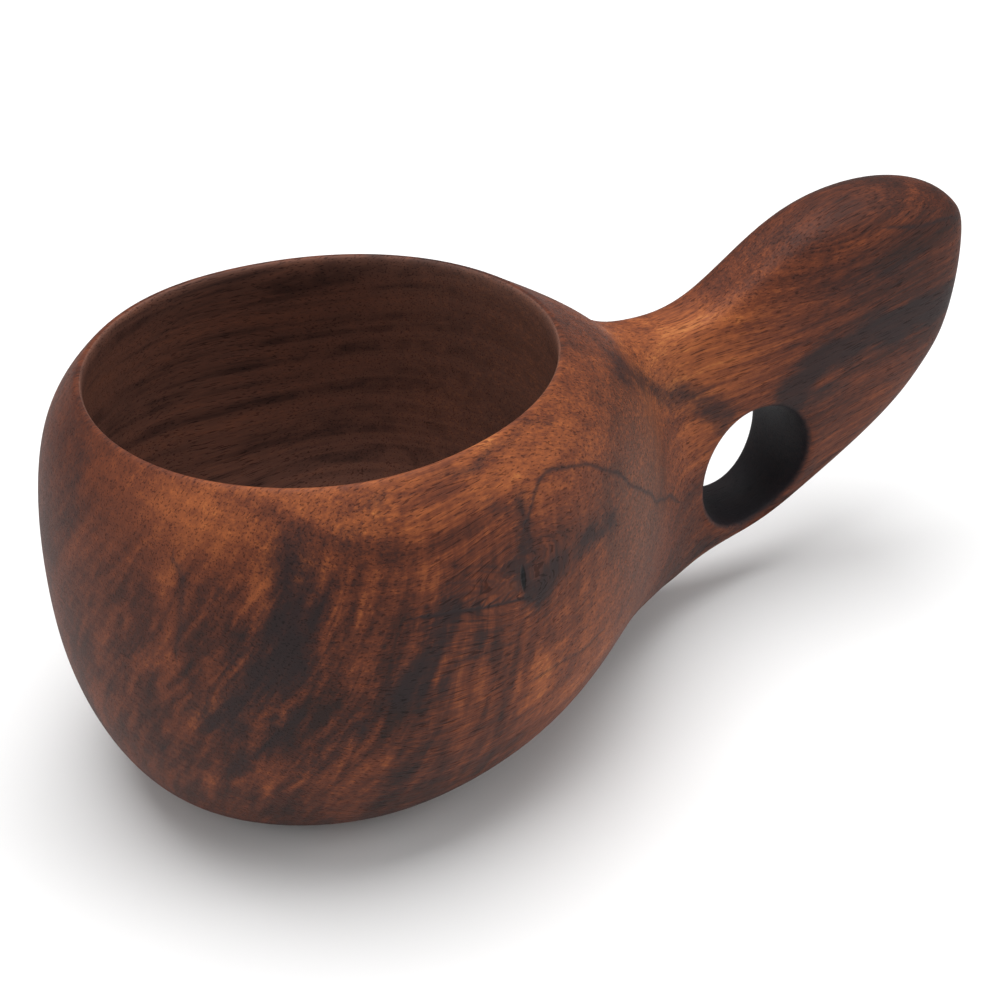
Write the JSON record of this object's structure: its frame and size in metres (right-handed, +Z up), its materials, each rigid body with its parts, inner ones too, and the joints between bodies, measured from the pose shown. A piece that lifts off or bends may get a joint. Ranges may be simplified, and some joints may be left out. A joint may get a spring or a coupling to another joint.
{
  "type": "kuksa drinking cup",
  "caption": "Carved one-piece wooden drinking cup with an egg-shaped bowl and a deep, upswept side handle with a round finger hole.",
  "frame": {"origin": "centre of the foot, where the bowl's axis meets the table", "axes": "+X from the bowl along the handle, +Y to the cup's left side, +Z up the bowl's axis"},
  "size_m": [0.1679, 0.0872, 0.0693],
  "materials": {
    "walnut": "oiled satin"
  },
  "bodies": {
    "root": {"cup_body": "walnut"}
  },
  "joints": []
}
